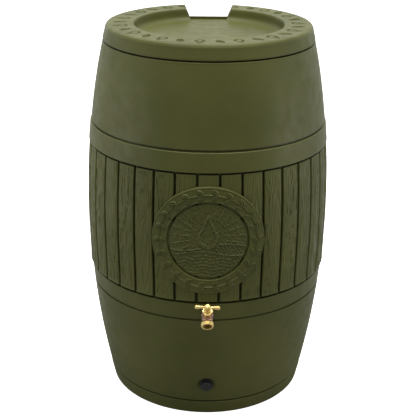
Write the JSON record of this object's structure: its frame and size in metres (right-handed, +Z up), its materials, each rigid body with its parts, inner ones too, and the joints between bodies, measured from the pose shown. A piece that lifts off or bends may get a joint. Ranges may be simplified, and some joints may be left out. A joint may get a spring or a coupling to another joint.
{
  "type": "rain barrel",
  "caption": "Bulging rain barrel with stave panels, lift-off lid with a downspout notch, leaf screen, brass tap, drain plug and rear overflow outlet.",
  "frame": {"origin": "centre of the flat underside, on the barrel's axis, at the floor", "axes": "+Z up along the barrel's axis; -Y is the front, with the medallion, the tap and the drain plug; +Y is the back, with the lid's downspout notch and the overflow outlet; +X is to the right when looking at the front"},
  "size_m": [0.6124, 0.6684, 0.95],
  "materials": {
    "olive_polyethylene": "matte olive green moulded polyethylene with a fine eggshell texture",
    "screen_frame_plastic": "matte black",
    "screen_mesh": "fine woven grey mesh",
    "cast_brass": "rough, as cast",
    "machined_brass": "bright, machined",
    "black_rubber": "matte",
    "red_fibre": "pressed fibre",
    "graphite_packing": "dark grey, greasy",
    "black_plastic": "satin black moulded"
  },
  "bodies": {
    "barrel": {"barrel_body": "olive_polyethylene", "tap_body": "cast_brass", "tap_outer_gasket": "black_rubber", "tap_inner_gasket": "black_rubber", "tap_locknut": "machined_brass", "bonnet": "machined_brass", "bonnet_gasket": "red_fibre", "packing_nut": "machined_brass", "packing_ring": "graphite_packing", "drain_bushing": "black_plastic", "drain_gasket": "black_rubber", "drain_locknut": "black_plastic", "overflow_adapter": "black_plastic", "overflow_gasket": "black_rubber", "overflow_locknut": "black_plastic"},
    "lid": {"lid": "olive_polyethylene"},
    "screen": {"screen_hoop": "screen_frame_plastic", "screen_mesh": "screen_mesh", "screen_clamp_ring": "screen_frame_plastic"},
    "valve_washer": {"seat_washer": "black_rubber"},
    "valve_stem": {"valve_stem": "machined_brass", "washer_screw": "machined_brass", "tee_handle": "machined_brass", "handle_screw": "machined_brass"},
    "drain_seal": {"drain_plug_seal": "black_rubber"},
    "drain_plug": {"drain_plug": "black_plastic"}
  },
  "joints": [
    {"name": "lid_lift", "type": "slide", "parent": "barrel", "child": "lid", "axis": [0, 0, 1], "range_m": [0, 0.3]},
    {"name": "screen_lift", "type": "slide", "parent": "barrel", "child": "screen", "axis": [0, 0, 1], "range_m": [0, 0.15]},
    {"name": "valve_rise", "type": "slide", "parent": "barrel", "child": "valve_washer", "axis": [0, -0.5, 0.866], "range_m": [0, 0.0064]},
    {"name": "handle_turn", "type": "hinge", "parent": "valve_washer", "child": "valve_stem", "pos_m": [0, -0.331, 0.319], "axis": [0, -0.5, 0.866], "range_deg": [0, 1080]},
    {"name": "drain_plug_travel", "type": "slide", "parent": "barrel", "child": "drain_seal", "axis": [0, -1, 0], "range_m": [0, 0.0128]},
    {"name": "drain_plug_turn", "type": "hinge", "parent": "drain_seal", "child": "drain_plug", "pos_m": [0, -0.27, 0.094], "axis": [0, -1, 0], "range_deg": [0, 2520]}
  ],
  "couplings": [
    {"joint": "screen_lift", "follows": "lid_lift", "ratio": 0.5},
    {"joint": "valve_rise", "follows": "handle_turn", "m_per_rad": 0.00033423},
    {"joint": "drain_plug_travel", "follows": "drain_plug_turn", "m_per_rad": 0.00028871}
  ]
}
